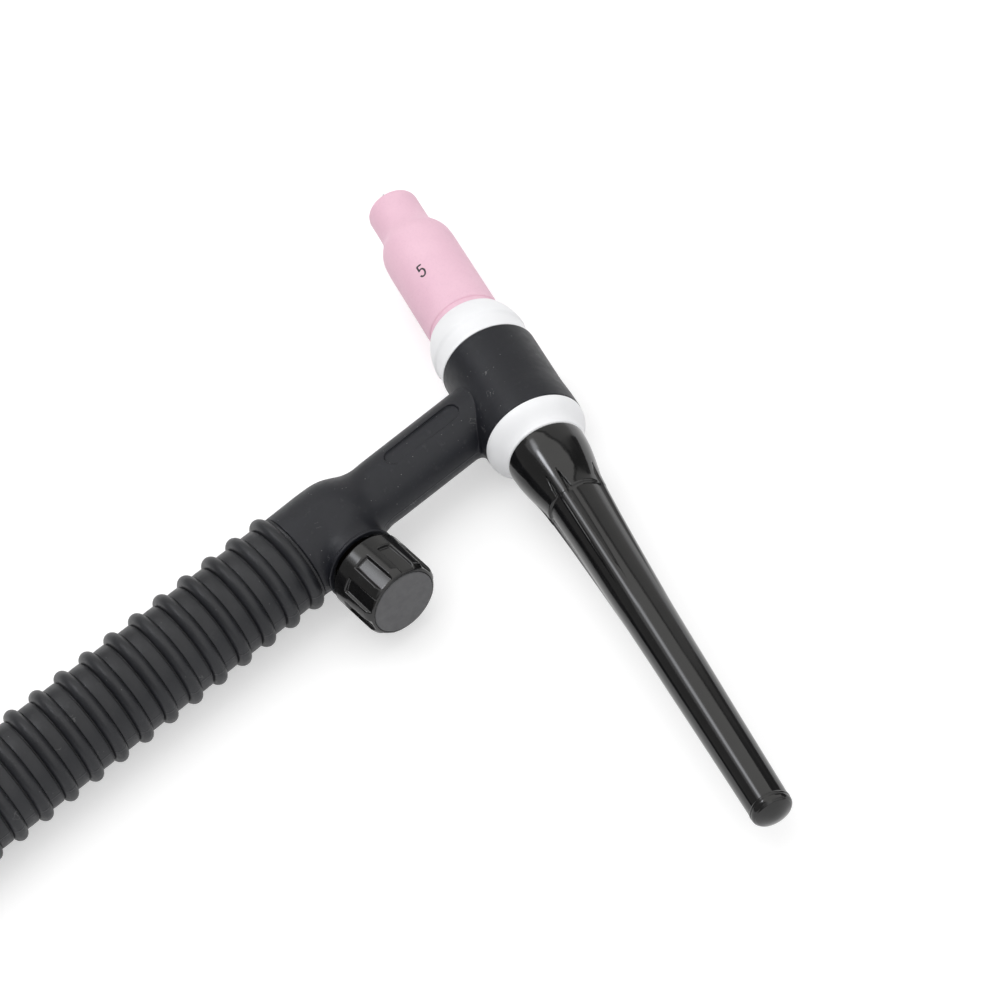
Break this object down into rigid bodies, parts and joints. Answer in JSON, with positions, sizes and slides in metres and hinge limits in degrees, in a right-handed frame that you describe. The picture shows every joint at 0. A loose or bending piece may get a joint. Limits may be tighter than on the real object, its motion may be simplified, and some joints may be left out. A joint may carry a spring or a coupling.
{
  "type": "tig welding torch",
  "caption": "Hand-held TIG torch with a ribbed handle, neck gas valve with knob, ceramic gas cup, electrode and long back cap.",
  "frame": {"origin": "centre of the handle's rear opening, on the handle's axis", "axes": "+X along the handle towards the head; +Z square to the flat plane of the torch; +Y the side the gas cup points to, -Y the side of the back cap and the valve knob"},
  "size_m": [0.2222, 0.214, 0.026],
  "materials": {
    "casing_rubber": "matte moulded",
    "handle_rubber": "matte moulded",
    "white_plastic": "satin turned",
    "pink_ceramic": "unglazed",
    "black_phenolic": "gloss",
    "grey_plastic": "satin",
    "brass": "machined",
    "copper": "drawn copper",
    "tungsten": "ground",
    "steel": "zinc plated",
    "seal_rubber": "smooth"
  },
  "bodies": {
    "torch": {"torch_casing": "casing_rubber", "head_core": "brass", "neck_tube": "copper", "valve_block": "brass", "power_stud": "brass", "handle_sleeve": "handle_rubber", "rear_insulator": "white_plastic", "collet_body": "brass", "gland_nut": "brass"},
    "gasket": {"front_gasket": "white_plastic"},
    "cup": {"gas_cup": "pink_ceramic"},
    "cap_seal": {"back_cap_o_ring": "seal_rubber"},
    "cap": {"back_cap": "black_phenolic", "back_cap_insert": "brass"},
    "collet": {"collet": "copper"},
    "electrode": {"electrode": "tungsten"},
    "stem_seal": {"stem_o_ring": "seal_rubber"},
    "valve_control": {"valve_stem": "brass", "valve_knob": "black_phenolic", "knob_screw": "steel", "knob_cover": "grey_plastic"}
  },
  "joints": [
    {"name": "stem_travel", "type": "slide", "parent": "torch", "child": "stem_seal", "axis": [0, -1, 0], "range_m": [0, 0.0015]},
    {"name": "valve_turn", "type": "hinge", "parent": "stem_seal", "child": "valve_control", "pos_m": [0.14, 0, 0], "axis": [0, -1, 0], "range_deg": [0, 541]},
    {"name": "cap_travel", "type": "slide", "parent": "torch", "child": "cap_seal", "axis": [-0.2588, -0.9659, 0], "range_m": [0, 0.00762]},
    {"name": "cap_turn", "type": "hinge", "parent": "cap_seal", "child": "cap", "pos_m": [0.197, 0, 0], "axis": [-0.2588, -0.9659, 0], "range_deg": [0, 2161]},
    {"name": "collet_travel", "type": "slide", "parent": "torch", "child": "collet", "axis": [-0.2588, -0.9659, 0], "range_m": [0, 0.00765]},
    {"name": "electrode_slide", "type": "slide", "parent": "collet", "child": "electrode", "axis": [0.2588, 0.9659, 0], "range_m": [-0.006, 0.02]},
    {"name": "gasket_travel", "type": "slide", "parent": "torch", "child": "gasket", "axis": [0.2588, 0.9659, 0], "range_m": [0, 0.008]},
    {"name": "cup_turn", "type": "hinge", "parent": "gasket", "child": "cup", "pos_m": [0.197, 0, 0], "axis": [0.2588, 0.9659, 0], "range_deg": [0, 1801]}
  ],
  "couplings": [
    {"joint": "valve_turn", "follows": "stem_travel", "rad_per_m": 6283.2},
    {"joint": "cap_turn", "follows": "cap_travel", "rad_per_m": 4947.4},
    {"joint": "collet_travel", "follows": "cap_travel", "ratio": 1},
    {"joint": "cup_turn", "follows": "gasket_travel", "rad_per_m": 3927}
  ]
}
